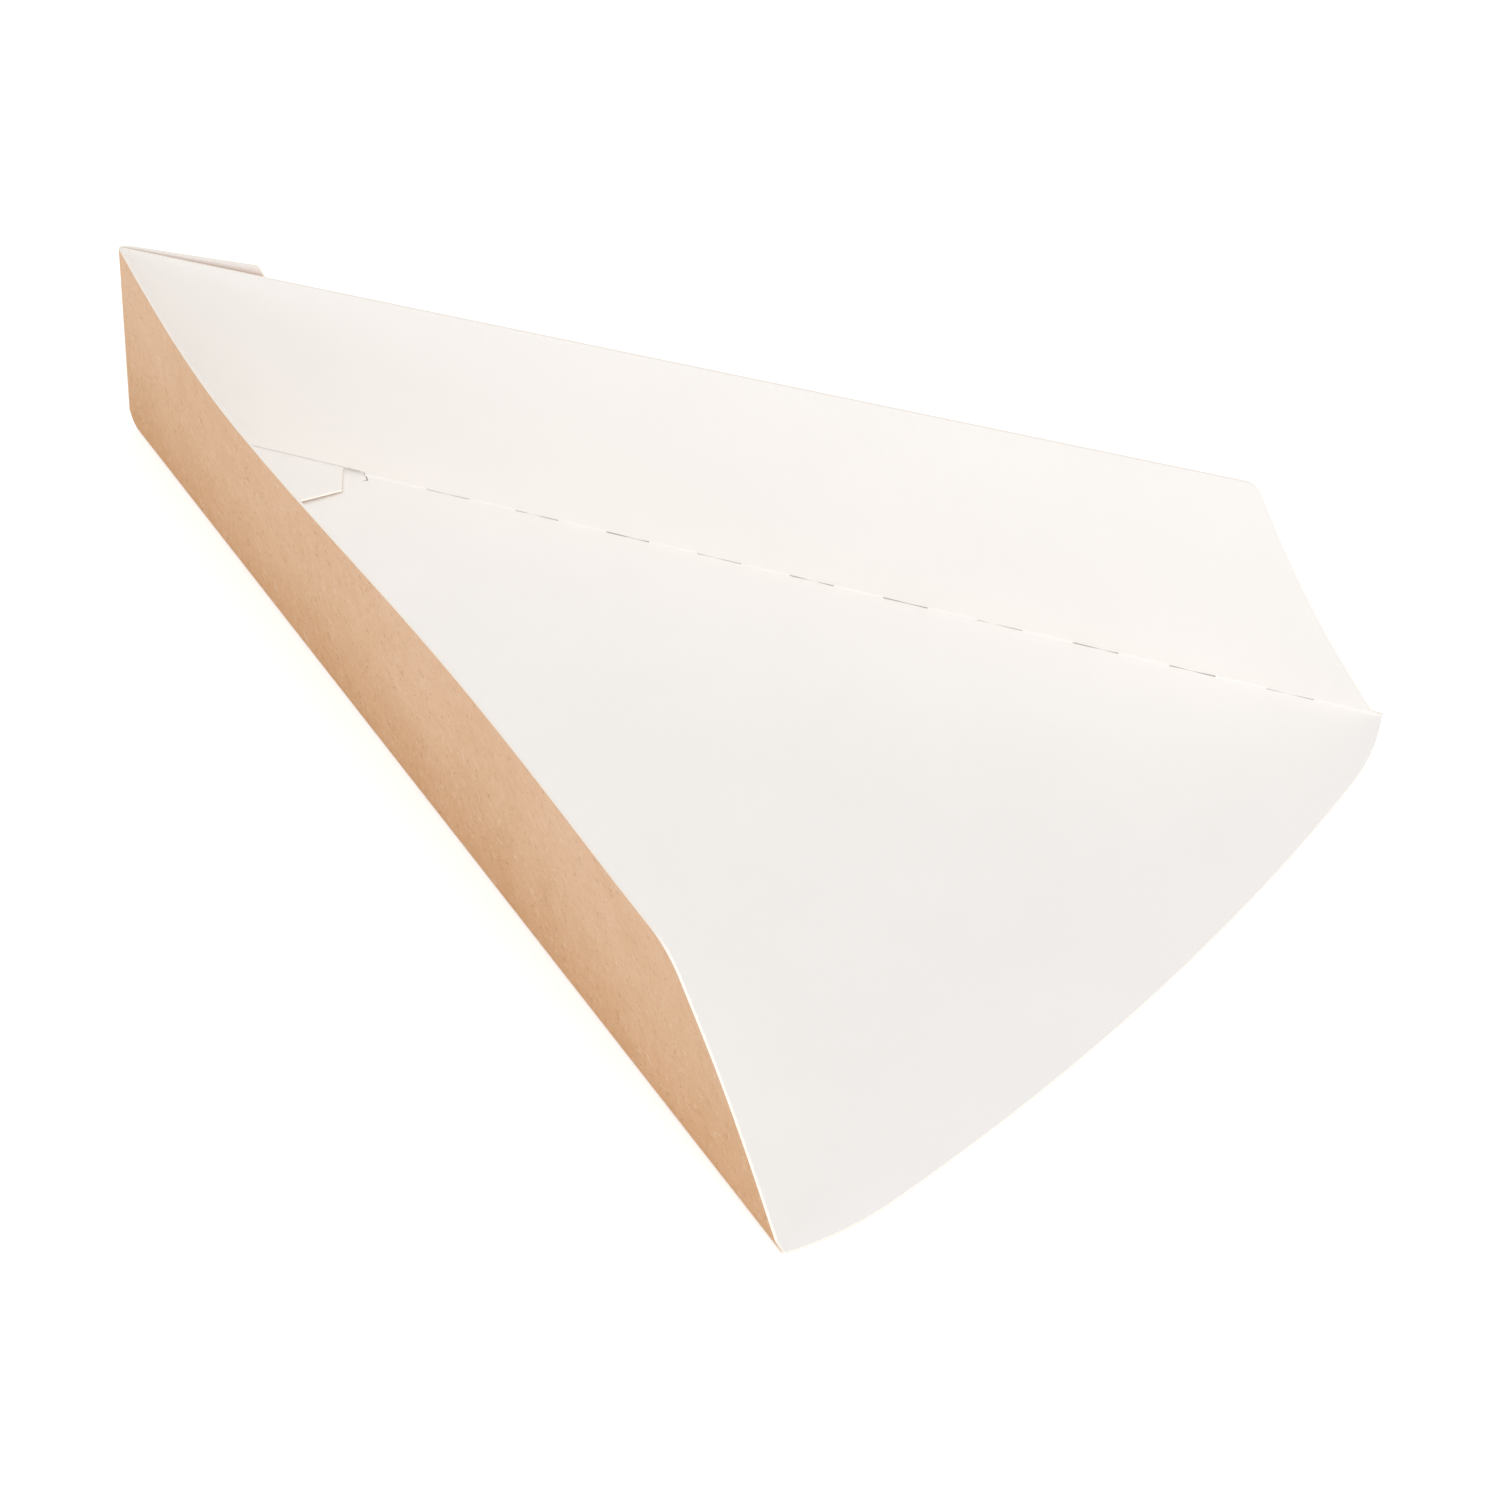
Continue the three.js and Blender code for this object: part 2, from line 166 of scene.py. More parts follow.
class Sheet:
    """Places, each with a point on the inside and the outside face, and quads between them."""

    def __init__(self):
        self.inside = []
        self.outside = []
        self.quads = []
        # quads painted with the grey of shade: the slits, the short cut and the flap's foot behind
        # the slot
        self.slits = set()

    def place(self, inside, outside):
        self.inside.append(inside)
        self.outside.append(outside)
        return len(self.inside) - 1

    def row(self, pairs):
        return [self.place(*pair) for pair in pairs]

    def grid(self, rows):
        for low, high in zip(rows, rows[1:]):
            for i in range(1, min(len(low), len(high))):
                self.quads.append((low[i - 1], low[i], high[i], high[i - 1]))

    def slit(self, rows):
        """A grid whose inside face is painted the grey of shade in a slit."""
        known = len(self.quads)
        self.grid(rows)
        self.slits.update(self.quads[known:])

    def shade(self, places):
        """Gives the faces at some places the painted grey of shade in a slit."""
        places = set(places)
        self.slits.update(quad for quad in self.quads if places.intersection(quad))

    def faces(self):
        """The inside faces, the outside faces, the cut edges between them and the faces painted
        with the grey of shade.
        """
        count = len(self.inside)
        inside = [quad for quad in self.quads if quad not in self.slits]
        outside = [tuple(k + count for k in reversed(quad)) for quad in self.quads]
        edges = {(quad[k - 1], quad[k]) for quad in self.quads for k in range(4)}
        cut = [(q, p, p + count, q + count) for p, q in sorted(edges) if (q, p) not in edges]
        return inside, outside, cut, sorted(self.slits)


def near_splay(s):
    """Lean of the near wall at a place along its crease."""
    q = min(max(s / NEAR_BULGE_AT, 0), 1)
    lean = lerp(NEAR_AT_APEX, NEAR_BULGE, math.sin(math.pi / 2 * q))
    lean += (NEAR_WAIST - NEAR_BULGE) * ease(s, NEAR_BULGE_AT, NEAR_WAIST_AT)
    lean += (NEAR_FRONT - NEAR_WAIST) * ease(s, NEAR_WAIST_AT, NEAR_FRONT_AT)
    return math.radians(lean)


def far_splay(s):
    return math.radians(FAR_SPLAY)


def fold_reach(turn):
    """How far a fold reaches from the corner that it rounds."""
    return FOLD_RADIUS * math.tan(turn / 2)


def wall_foot(splay, s):
    return fold_reach(math.pi / 2 - splay(s))


def section_point(edge, s, out, height):
    """A point given along a crease, outwards from it and above the base's inside face."""
    return edge["along"] * s + edge["out"] * out + UP * (BOARD + height)


def fold_place(edge, splay, s, part):
    turn = math.pi / 2 - splay(s)
    angle = part * turn

    def at(radius):
        out = radius * math.sin(angle) - fold_reach(turn)
        return section_point(edge, s, out, FOLD_RADIUS - radius * math.cos(angle))

    return at(FOLD_RADIUS), at(FOLD_RADIUS + BOARD)


def wall_height(s):
    return lerp(HEIGHT_AT_APEX, HEIGHT_AT_FRONT, s / (CREASE_LENGTH - FRONT_SETBACK))


def wall_place(edge, splay, s, v):
    """A place of a wall at a distance v up its slope."""
    lean = splay(s)
    normal = edge["out"] * math.cos(lean) - UP * math.sin(lean)
    curl = WALL_CURL * ease(s, SLOT_START, CREASE_LENGTH) * math.sin(math.pi * v / wall_height(s))
    inside = section_point(edge, s, v * math.sin(lean), v * math.cos(lean)) - normal * curl
    return inside, inside + normal * BOARD


def row_height(foot, s, share):
    return lerp(foot, wall_height(s), share)


def curve(a, b, c, count):
    """Points on a quadratic curve, its start included."""
    steps = [k / count for k in range(count + 1)]
    return [a * (1 - q) ** 2 + 2 * b * q * (1 - q) + c * q * q for q in steps]


def wall_rows(foot, corner_length):
    """Where each row of a wall ends at the front, and its share of the height above a foot."""
    start = np.array([CREASE_LENGTH - FOOT_SETBACK, SLOT_TOP])
    corner = np.array([CREASE_LENGTH - FRONT_SETBACK, HEIGHT_AT_FRONT])
    edge = corner - start
    inward = np.array([-edge[1], edge[0]]) / np.linalg.norm(edge)
    hollow = start + edge / 2 + inward * 2 * FRONT_HOLLOW
    down = hollow - corner
    back = np.array([0, HEIGHT_AT_APEX]) - corner
    corner_start = corner + down / np.linalg.norm(down) * corner_length
    corner_end = corner + back / np.linalg.norm(back) * corner_length
    points = curve(start, hollow, corner_start, EDGE_ROWS)
    points += curve(corner_start, corner, corner_end, CORNER_STEPS)[1:]
    return [(front, (v - foot) / (wall_height(front) - foot)) for front, v in points]


# Slits along the far crease, as pairs of start and end
last_slit = CREASE_LENGTH - SLIT_MARGIN - SLIT_LENGTH
slit_count = 1 + int((last_slit - SLOT_END - SLOT_TO_SLITS) / SLIT_PITCH)
slit_starts = [last_slit - k * SLIT_PITCH for k in reversed(range(slit_count))]
slits = [(start, start + SLIT_LENGTH) for start in slit_starts]
slit_ends = [end for slit in slits for end in slit]

# Distances from the apex at which the walls and the base are divided
marks = [APEX_RELIEF, SLOT_START, SLOT_START + KNIFE_GAP, SLOT_END - KNIFE_GAP]
marks += [SLOT_END, SLOT_END + HOOK_WIDTH / 2, SLOT_END + HOOK_WIDTH]
marks += [*slit_ends, CREASE_LENGTH]
stations = [APEX_RELIEF]
for mark, following in zip(marks, marks[1:]):
    if (mark, following) in slits:
        ends = mark + SLIT_END, following - SLIT_END
        stations += [ends[0], *stretch(*ends, SLIT_COLUMNS), following]
    else:
        stations += stretch(mark, following, math.ceil((following - mark) / COLUMN))


def index(station):
    return min(range(len(stations)), key=lambda k: abs(stations[k] - station))


def between(row, start, end):
    return row[index(start):index(end) + 1]


def shifted(station, start, front):
    return lerp(start, front, (station - APEX_RELIEF) / (CREASE_LENGTH - APEX_RELIEF))


def slit_opening(s):
    """How far a slit is open at a place along the crease, varied by a made-up rule."""
    for k, (start, end) in enumerate(slits):
        if start < s < end:
            q = (s - start) / (end - start)
            widest = 0.8 + 0.2 * math.sin(2.2 * k + 4)
            pinch = 0.5 + 0.4 * abs(math.sin(1.9 * k))
            from_pinch = q - 0.5 + 0.16 * math.sin(2.4 * k)
            return widest * (1 - pinch * math.exp(-(from_pinch / PINCH_LENGTH) ** 2))
    return 0


def slit_place(s, k):
    """A place of the far fold, where a slit narrows and gets shallow as it closes."""
    lip, other_lip = SLIT_SIDES
    part, opening = SLIT_PARTS[k], slit_opening(s)
    if lip <= k <= other_lip:
        part = lerp(0.5, part, opening)
    inside, outside = fold_place(FAR, far_splay, s, part)
    if lip < k < other_lip:
        inside = lerp(inside, outside, SLIT_DEPTH / BOARD * opening)
    return inside, outside


def fold_rows(sheet, edge, splay):
    """Rows along a crease's fold, from the base to the wall."""
    rows = []
    for k in range(FOLD_STEPS + 1):
        part = k / FOLD_STEPS
        rows.append(sheet.row(fold_place(edge, splay, s, part) for s in stations))
    return rows


def add_slit(sheet, lower, start, end):
    """The far fold where a slit is cut into it from the inside."""
    first, last = index(start), index(end)
    lip, other_lip = SLIT_SIDES
    made = []
    for k, (row, part) in enumerate(zip(lower, SLIT_PARTS)):
        if part in (0, 1):
            made.append(row[first:last + 1])
        else:
            places = (slit_place(s, k) for s in stations[first + 1:last])
            made.append([row[first], *sheet.row(places), row[last]])
    sheet.grid(made[:lip + 1])
    # painted shade: the inside of the slit gets the grey of shade
    sheet.slit(made[lip:other_lip + 1])
    sheet.grid(made[other_lip:])
    sheet.grid([row[first:last + 1] for row in lower[FOLD_STEPS:]])


def add_far_wall(sheet):
    """The far wall with its fold, slits and slot. Returns the row that the base joins."""
    fold = fold_rows(sheet, FAR, far_splay)
    wall = []
    for front, share in wall_rows(SLOT_TOP, FAR_CORNER):
        start = APEX_RELIEF
        if share:
            out = row_height(SLOT_TOP, 0, share) * math.sin(far_splay(0))
            start = (APEX_GAP - math.cos(WEDGE) * out) / math.sin(WEDGE)
        row = []
        for station in stations:
            s = shifted(station, start, front)
            row.append(wall_place(FAR, far_splay, s, row_height(SLOT_TOP, s, share)))
        wall.append(sheet.row(row))
    lower = [*fold, wall[0]]
    sheet.grid([between(row, APEX_RELIEF, SLOT_START) for row in lower])
    edges = [SLOT_END, *slit_ends, CREASE_LENGTH]
    for start, end in zip(edges, edges[1:]):
        if (start, end) in slits:
            add_slit(sheet, lower, start, end)
        else:
            sheet.grid([between(row, start, end) for row in lower])
    sheet.grid(wall)
    strip_start, strip_end = SLOT_START + KNIFE_GAP, SLOT_END - KNIFE_GAP
    strip = sheet.row((section_point(FAR, s, SLOT_TOP, 0), section_point(FAR, s, SLOT_TOP, -BOARD))
                      for s in between(stations, strip_start, strip_end))
    sheet.grid([between(fold[0], strip_start, strip_end), strip])
    return fold[0]


def turned(vector, angle):
    c, s = math.cos(angle), math.sin(angle)
    return np.array([c * vector[0] - s * vector[1], s * vector[0] + c * vector[1], vector[2]])


def flap_angle(v):
    return math.atan(FLAP_SPRING / FLAP_TOP_LENGTH * v / HEIGHT_AT_APEX)


def flap_out(v):
    return FLAP_OFFSET + v * math.sin(far_splay(0))


def apex_fold(v):
    """The upright fold at the apex: its centre, how far it turns and where the wall meets it."""
    away = math.tan(flap_angle(v))
    turn = math.pi - WEDGE - flap_angle(v)
    near_out = v * math.sin(near_splay(fold_reach(turn)))
    corner = -(flap_out(v) + near_out * (math.cos(WEDGE) - away * math.sin(WEDGE)))
    corner /= math.sin(WEDGE) + away * math.cos(WEDGE)
    wall_end = corner + fold_reach(turn)
    centre = NEAR["along"] * wall_end + NEAR["out"] * (near_out - FOLD_RADIUS)
    return turn, centre, wall_end


def apex_place(v, part):
    turn, centre, _ = apex_fold(v)
    outward = turned(NEAR["out"], -part * turn)
    base = centre + UP * (BOARD + v)
    return base + outward * FOLD_RADIUS, base + outward * (FOLD_RADIUS + BOARD)


def flap_place(s, v):
    inside = section_point(FAR, s, flap_out(v) + s * math.tan(flap_angle(v)), v)
    return inside, inside + turned(FAR["out"], flap_angle(v)) * BOARD


def flap_start(v):
    return float(apex_place(v, 1)[0] @ FAR["along"])


flap_columns = [
    *stretch(flap_start(APEX_FOOT), TAB_START, FLAP_REAR_COLUMNS),
    *stretch(TAB_START, TAB_END, TAB_COLUMNS),
    *stretch(TAB_END, FLAP_FOOT_LENGTH, FLAP_END_COLUMNS),
]


def band_row(front, share):
    """A row of the flap, the apex fold and the near wall, from the flap's free edge."""
    at_apex = row_height(APEX_FOOT, 0, share)
    wall = []
    for station in stations:
        s = shifted(station, APEX_RELIEF, front)
        wall.append(wall_place(NEAR, near_splay, s, row_height(wall_foot(near_splay, s), s, share)))
    relief = []
    for q in stretch(0, 1, RELIEF_COLUMNS):
        s = lerp(APEX_RELIEF, apex_fold(at_apex)[2], q)
        foot = lerp(wall_foot(near_splay, s), APEX_FOOT, q * q)
        relief.append(wall_place(NEAR, near_splay, s, row_height(foot, lerp(s, 0, q), share)))
    fold = [apex_place(at_apex, part) for part in stretch(0, 1, APEX_STEPS)]
    flap_end = lerp(FLAP_FOOT_LENGTH, FLAP_TOP_LENGTH, share)
    start = flap_start(APEX_FOOT)
    flap = []
    for column in flap_columns:
        q = (column - start) / (FLAP_FOOT_LENGTH - start)
        s = lerp(flap_start(at_apex), flap_end, q)
        foot = lerp(APEX_FOOT, FLAP_FOOT, min(1, (column - start) / (TAB_START - start)))
        if column > TAB_END + KNIFE_GAP:
            foot = FLAP_END_FOOT
        rounding = max(0, s - flap_end + FLAP_CORNER) / FLAP_CORNER
        rounding = FLAP_CORNER * (1 - math.sqrt(1 - min(rounding, 1) ** 2))
        rounding *= share ** FLAP_CORNER_FADE
        rise = FLAP_RISE * share * math.sqrt(q)
        flap.append(flap_place(s, row_height(foot, s * q, share) + rise - rounding))
    return [*reversed([*relief, *fold, *flap]), *wall]


def add_tab(sheet, root):
    """The tab, folded in from a row at the flap's foot."""
    turn = math.pi / 2 + math.radians(TAB_LIFT)
    centre_out = FLAP_OFFSET - FOLD_RADIUS

    def tab_place(s, angle, length):
        def at(radius):
            out = centre_out + radius * math.cos(angle) - length * math.sin(angle)
            height = FLAP_FOOT - radius * math.sin(angle) - length * math.cos(angle)
            return section_point(FAR, s, out, height)

        return at(FOLD_RADIUS), at(FOLD_RADIUS + BOARD)

    columns = [TAB_END, *stretch(TAB_END, TAB_START, TAB_COLUMNS)]
    rows = [root]
    for angle in stretch(0, turn, TAB_FOLD_STEPS):
        rows.append(sheet.row(tab_place(s, angle, 0) for s in columns))
    outline = [(0, TAB_END), (TAB_EAR_DEPTH, TAB_END + TAB_EAR),
               (TAB_DEPTH, TAB_END + TAB_EAR - TAB_CHAMFER)]
    for (depth, end), (next_depth, next_end) in zip(outline, outline[1:]):
        for q in stretch(0, 1, TAB_ROWS):
            d, e = lerp(depth, next_depth, q), lerp(end, next_end, q)
            start = TAB_START + TAB_TAPER * d / TAB_DEPTH
            rows.append(sheet.row(tab_place(s, turn, centre_out + d)
                                  for s in [e, *stretch(e, start, TAB_COLUMNS)]))
    sheet.grid(rows)


def add_near_wall(sheet):
    """The near wall, apex fold, flap and tab. Returns the row that the base joins."""
    foot = wall_foot(near_splay, CREASE_LENGTH)
    rows = [(CREASE_LENGTH, 0), *wall_rows(foot, NEAR_CORNER)]
    band = [sheet.row(band_row(front, share)) for front, share in rows]
    fold = fold_rows(sheet, NEAR, near_splay)
    fold[-1] = band[0][-len(stations):]
    sheet.grid(band[::-1])
    # painted shade: the flap's foot, seen through the slot's gap, gets the grey of shade
    sheet.shade(place for row in band[:2] for place in row[:FLAP_END_COLUMNS - 1])
    sheet.grid(fold[::-1])
    add_tab(sheet, band[0][FLAP_END_COLUMNS:FLAP_END_COLUMNS + TAB_COLUMNS + 1])
    return fold[0]


def front_edge(y):
    """How far the front edge of the base reaches at a place across the tray."""
    corner = NEAR["along"] * CREASE_LENGTH
    half = -corner[1]
    inner = half - FRONT_END_SPAN
    middle = math.asin(inner / FRONT_RADIUS)
    end_y = inner - FRONT_END_RADIUS * math.sin(middle)
    end_x = corner[0] - math.sqrt(FRONT_END_RADIUS ** 2 - (half - end_y) ** 2)
    if abs(y) > inner:
        return end_x + math.sqrt(FRONT_END_RADIUS ** 2 - (min(abs(y), half) - end_y) ** 2)
    middle_x = end_x - (FRONT_RADIUS - FRONT_END_RADIUS) * math.cos(middle)
    return middle_x + math.sqrt(FRONT_RADIUS ** 2 - y * y)


def add_base(sheet, near_row, far_row):
    """The base between the two creases, with the short cut at the slot's front end."""
    rows = [near_row]
    hook = index(SLOT_END + HOOK_WIDTH / 2)
    for q in stretch(0, 1, BASE_ROWS)[:-1]:
        ray = lerp(NEAR["along"], FAR["along"], q)
        reach = CREASE_LENGTH
        for _ in range(REACH_ROUNDS):
            reach = front_edge(ray[1] * reach) / ray[0]
        row = []
        for near_end, far_end, s in zip(near_row, far_row, stations):
            inside = lerp(sheet.inside[near_end], sheet.inside[far_end], q)
            inside = inside + ray * s * (reach / CREASE_LENGTH - 1)
            row.append((inside, inside - UP * BOARD))
        if q > 1 - (HOOK_ROWS + 0.5) / BASE_ROWS:
            aside = FAR["along"] * HOOK_LEAN * (1 - q) * WEDGE * SLOT_END
            for k in range(hook - 1, hook + 2):
                row[k] = tuple(place + aside for place in row[k])
            row[hook] = row[hook][0] - UP * HOOK_DEPTH, row[hook][1]
        rows.append(sheet.row(row))
    sheet.grid([*rows, far_row])
    # painted shade: the short cut in the base gets the grey of shade
    sheet.shade(row[hook] for row in rows[-HOOK_ROWS:])


def add_object(name, data):
    made = bpy.data.objects.new(name, data)
    bpy.context.scene.collection.objects.link(made)
    return made


def make_board(name, materials):
    sheet = Sheet()
    far_row = add_far_wall(sheet)
    near_row = add_near_wall(sheet)
    add_base(sheet, near_row, far_row)
    groups = sheet.faces()
    points = (np.array([*sheet.inside, *sheet.outside]) - [ORIGIN_FROM_APEX, 0, 0]) / 1000
    mesh = bpy.data.meshes.new(name)
    mesh.from_pydata(points.tolist(), [], [face for group in groups for face in group])
    for material in materials:
        mesh.materials.append(material)
    kinds = np.repeat(np.arange(len(groups)), [len(group) for group in groups]).astype(np.int32)
    mesh.polygons.foreach_set("material_index", kinds)
    mesh.shade_smooth()
    mesh.set_sharp_from_angle(angle=math.radians(SHARP_ANGLE))
    return add_object(name, mesh)


class Nodes:
    """A material's nodes, made and linked in one line each."""

    def __init__(self, name):
        self.material = bpy.data.materials.new(name)
        self.material.use_nodes = True
        self.tree = self.material.node_tree
        self.tree.nodes.clear()

    def add(self, kind, inputs, **settings):
        node = self.tree.nodes.new(kind)
        for key, value in settings.items():
            setattr(node, key, value)
        for key, value in inputs.items():
            socket = node.inputs[key]
            if isinstance(value, bpy.types.NodeSocket):
                self.tree.links.new(value, socket)
            else:
                socket.default_value = value
        return node

    def noise(self, vector, scale, detail=2.0, distortion=0.0, roughness=0.5):
        inputs = {"Vector": vector, "Scale": scale, "Detail": detail,
                  "Distortion": distortion, "Roughness": roughness}
        return self.add("ShaderNodeTexNoise", inputs).outputs["Fac"]

    def math(self, operation, a, b=0.0):
        return self.add("ShaderNodeMath", {0: a, 1: b}, operation=operation).outputs[0]

    def span(self, value, low, high, to_low=0.0, to_high=1.0):
        inputs = {"Value": value, "From Min": low, "From Max": high,
                  "To Min": to_low, "To Max": to_high}
        return self.add("ShaderNodeMapRange", inputs).outputs["Result"]

    def mix(self, factor, a, b):
        node = self.add("ShaderNodeMix", {"Factor": factor}, data_type="RGBA")
        for socket, value in ((node.inputs[6], a), (node.inputs[7], b)):
            if isinstance(value, bpy.types.NodeSocket):
                self.tree.links.new(value, socket)
            else:
                socket.default_value = (*value, 1)
        return node.outputs[2]

    def place(self):
        return self.add("ShaderNodeTexCoord", {}).outputs["Object"]

    def finish(self, shader):
        self.add("ShaderNodeOutputMaterial", {"Surface": shader})
        return self.material

    def board(self, color, roughness, height=None, depth=0.0):
        inputs = {"Base Color": color, "Roughness": roughness, "Specular IOR Level": SPECULAR_LEVEL}
        if height is not None:
            bump = self.add("ShaderNodeBump", {"Height": height, "Distance": depth})
            inputs["Normal"] = bump.outputs["Normal"]
        return self.finish(self.add("ShaderNodeBsdfPrincipled", inputs).outputs[0])


def from_srgb(levels):
    """Linear colour of 8-bit display levels."""
    parts = [level / 255 for level in levels]
    return tuple(p / 12.92 if p <= 0.04045 else ((p + 0.055) / 1.055) ** 2.4 for p in parts)


def white_face():
    nodes = Nodes("white_face")
    place = nodes.place()
    cloud = nodes.noise(place, scale=45, detail=3)
    grain = nodes.noise(place, scale=1500, detail=4, roughness=0.7)
    color = nodes.mix(cloud, *map(from_srgb, WHITE))
    return nodes.board(color, roughness=0.6, height=grain, depth=0.00001)


def kraft_face():
    """Brown board with blotches, specks and fibres, and painted shade that makes it darker towards
    the floor and paler towards the top.
    """
    nodes = Nodes("kraft_face")
    place = nodes.place()
    patch = nodes.noise(place, scale=38, detail=3, roughness=0.6)
    cloud = nodes.noise(place, scale=160, detail=4, roughness=0.65)
    speck = nodes.noise(place, scale=900, detail=3, roughness=0.8)
    patch = nodes.span(patch, *NOISE_SPAN)
    cloud = nodes.span(cloud, *NOISE_SPAN, to_low=-0.15, to_high=0.15)
    speck = nodes.span(speck, *NOISE_SPAN, to_low=-0.2, to_high=0.2)
    low = nodes.mix(patch, *map(from_srgb, KRAFT_SHADED_LOW))
    high = nodes.mix(patch, *map(from_srgb, KRAFT_LIT_HIGH))
    # painted shade: the kraft gets paler with height, fastest over the lower half of the wall
    height = nodes.add("ShaderNodeSeparateXYZ", {"Vector": place}).outputs["Z"]
    lower_half = nodes.span(height, 0.0, HEIGHT_AT_FRONT / 2000, to_low=0.05, to_high=0.45)
    whole = nodes.span(height, 0.0, HEIGHT_AT_FRONT / 1000, to_low=0.0, to_high=0.4)
    rise = nodes.math("ADD", lower_half, whole)
    tone = nodes.math("ADD", rise, nodes.math("ADD", cloud, speck))
    color = nodes.mix(tone, low, high)

    def fibres(offset, scale, width, strength):
        """Short lines along the middle values of a noise, kept where a finer noise is high."""
        shift = offset, 2 * offset, -offset
        moved = nodes.add("ShaderNodeVectorMath", {0: place, 1: shift}, operation="ADD").outputs[0]
        line = nodes.noise(moved, scale, detail=1, distortion=1.2)
        aside = nodes.math("ABSOLUTE", nodes.math("SUBTRACT", line, 0.5))
        ridge = nodes.span(aside, 0, width, to_low=1, to_high=0)
        piece = nodes.span(nodes.noise(moved, scale * 1.7, detail=1), low=0.49, high=0.59)
        return nodes.math("MULTIPLY", nodes.math("MULTIPLY", ridge, piece), strength)

    dark = fibres(offset=0.11, scale=420, width=0.03, strength=0.4)
    light = fibres(offset=0.37, scale=380, width=0.04, strength=0.42)
    color = nodes.mix(dark, color, from_srgb(DARK_FIBRE))
    color = nodes.mix(light, color, from_srgb(LIGHT_FIBRE))
    grain = nodes.noise(place, scale=1100, detail=4, roughness=0.7)
    return nodes.board(color, roughness=0.75, height=grain, depth=0.00002)


def cut_edge():
    nodes = Nodes("cut_edge")
    grain = nodes.noise(nodes.place(), scale=2600)
    color = nodes.mix(grain, *map(from_srgb, CUT_EDGE))
    return nodes.board(color, roughness=0.8)


def painted_shade():
    """Painted shade: a grey for the slits, the short cut and the slot's gap, which light leaves too
    pale.
    """
    return Nodes("painted_shade").board((*from_srgb(PAINTED_SHADE_GREY), 1), roughness=0.9)


def floor_material():
    """A matt floor that takes the shadow, glows where it is seen and is clear from below."""
    nodes = Nodes("floor")
    path = nodes.add("ShaderNodeLightPath", {})
    seen = nodes.math("MAXIMUM", path.outputs["Is Camera Ray"], path.outputs["Is Glossy Ray"])
    seen = nodes.math("MAXIMUM", seen, path.outputs["Is Transmission Ray"])
    level = FLOOR_LEVEL, FLOOR_LEVEL, FLOOR_LEVEL, 1
    matt = nodes.add("ShaderNodeBsdfDiffuse", {"Color": level}).outputs[0]
    strength = nodes.math("MULTIPLY", seen, FLOOR_GLOW)
    glow = nodes.add("ShaderNodeEmission", {"Strength": strength}).outputs[0]
    lit = nodes.add("ShaderNodeAddShader", {0: matt, 1: glow}).outputs[0]
    clear = nodes.add("ShaderNodeBsdfTransparent", {}).outputs[0]
    below = nodes.add("ShaderNodeNewGeometry", {}).outputs["Backfacing"]
    return nodes.finish(nodes.add("ShaderNodeMixShader", {0: below, 1: lit, 2: clear}).outputs[0])


def make_floor():
    mesh = bpy.data.meshes.new("floor")
    half = FLOOR_HALF
    corners = [(-half, -half, 0), (half, -half, 0), (half, half, 0), (-half, half, 0)]
    mesh.from_pydata(corners, [], [(0, 1, 2, 3)])
    mesh.materials.append(floor_material())
    floor = add_object("floor", mesh)
    floor.location.z = -FLOOR_DROP


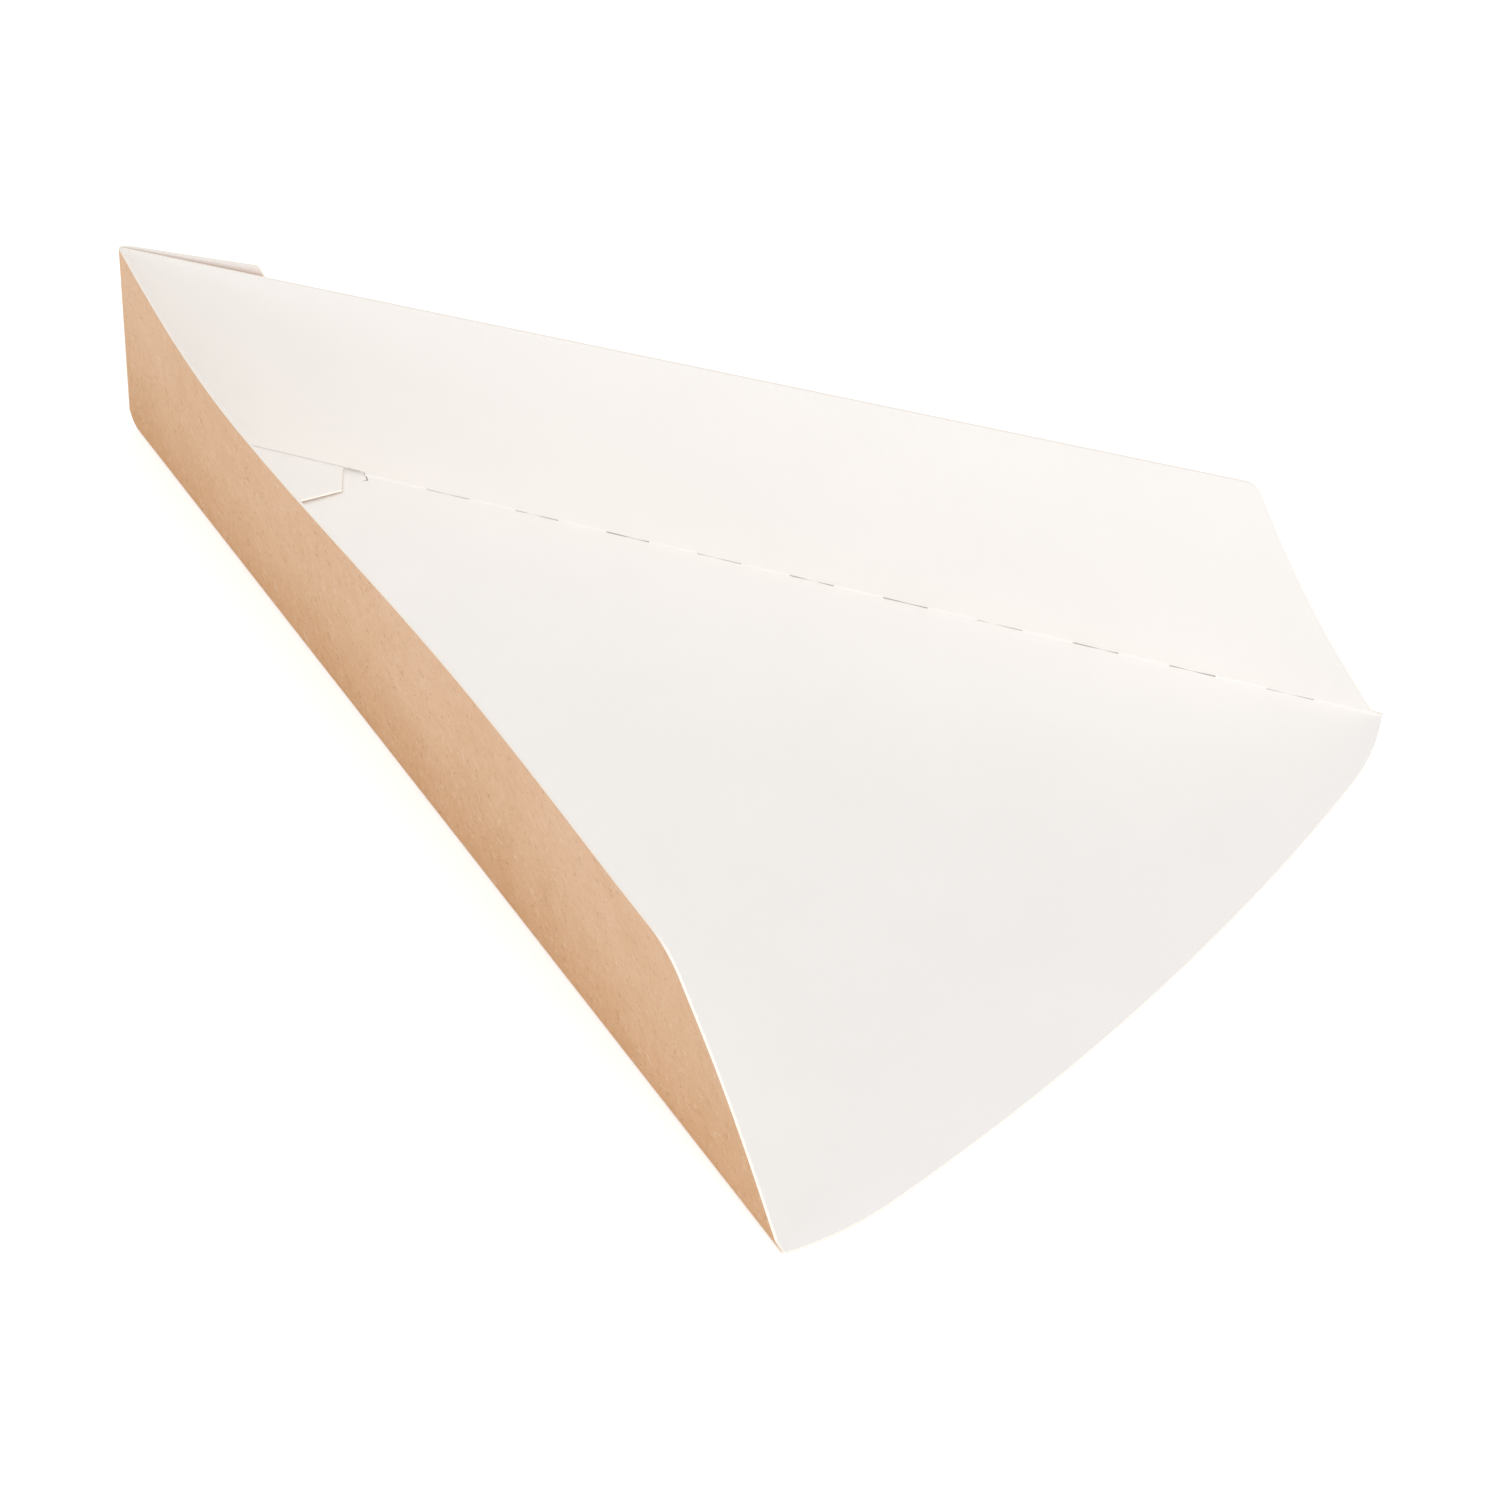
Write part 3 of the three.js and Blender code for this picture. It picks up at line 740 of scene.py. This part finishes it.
def make_world():
    """A plain white world, dimmer for the light that it gives than for the camera."""
    world = bpy.data.worlds.new("studio")
    world.use_nodes = True
    tree = world.node_tree
    background = tree.nodes["Background"]
    background.inputs["Color"].default_value = (1, 1, 1, 1)
    path = tree.nodes.new("ShaderNodeLightPath")
    seen = path.outputs["Is Camera Ray"]
    for name in ("Is Glossy Ray", "Is Transmission Ray"):
        either = tree.nodes.new("ShaderNodeMath")
        either.operation = "MAXIMUM"
        tree.links.new(seen, either.inputs[0])
        tree.links.new(path.outputs[name], either.inputs[1])
        seen = either.outputs[0]
    strength = tree.nodes.new("ShaderNodeMapRange")
    tree.links.new(seen, strength.inputs["Value"])
    strength.inputs["To Min"].default_value = WORLD_LEVEL
    strength.inputs["To Max"].default_value = 1
    tree.links.new(strength.outputs["Result"], background.inputs["Strength"])
    bpy.context.scene.world = world


def direction(azimuth, elevation):
    """A unit vector, round from -Y towards +X and up from the floor."""
    a, e = math.radians(azimuth), math.radians(elevation)
    return Vector((math.sin(a) * math.cos(e), -math.cos(a) * math.cos(e), math.sin(e)))


def add_lamp(name, azimuth, elevation, distance, size, watts):
    """A round lamp that points at the origin."""
    back = direction(azimuth, elevation)
    data = bpy.data.lights.new(name, "AREA")
    data.shape = "DISK"
    data.size = size
    data.energy = watts
    lamp = add_object(name, data)
    lamp.location = back * distance
    lamp.rotation_euler = back.to_track_quat("Z", "Y").to_euler()


def add_camera():
    back = direction(CAMERA_AZIMUTH, CAMERA_ELEVATION)
    right = Vector(UP).cross(back).normalized()
    up = back.cross(right)
    roll = math.radians(CAMERA_ROLL)
    tilted = right * math.cos(roll) + up * math.sin(roll)
    up = up * math.cos(roll) - right * math.sin(roll)
    data = bpy.data.cameras.new("camera")
    data.sensor_width = SENSOR_WIDTH
    data.lens = LENS
    data.clip_start = 0.01
    data.clip_end = 20
    camera = add_object("camera", data)
    turn = Matrix((tilted, up, back)).transposed().to_4x4()
    camera.matrix_world = Matrix.Translation(CAMERA_PLACE) @ turn
    bpy.context.scene.camera = camera


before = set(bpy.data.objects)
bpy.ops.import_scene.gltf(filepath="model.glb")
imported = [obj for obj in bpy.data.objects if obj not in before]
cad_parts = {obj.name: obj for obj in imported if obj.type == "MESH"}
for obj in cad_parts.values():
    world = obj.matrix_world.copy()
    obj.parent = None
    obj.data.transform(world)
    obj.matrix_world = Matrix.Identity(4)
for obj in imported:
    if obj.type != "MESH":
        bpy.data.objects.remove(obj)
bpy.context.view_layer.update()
board = make_board("tray_board", [white_face(), kraft_face(), cut_edge(), painted_shade()])
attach(board, "root")
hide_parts("tray")
make_floor()
make_world()
add_lamp("key", azimuth=75, elevation=30, distance=5, size=3, watts=103)
add_lamp("fill", azimuth=-20, elevation=12, distance=5, size=3, watts=19)
add_camera()
bpy.context.scene.view_settings.view_transform = "Standard"
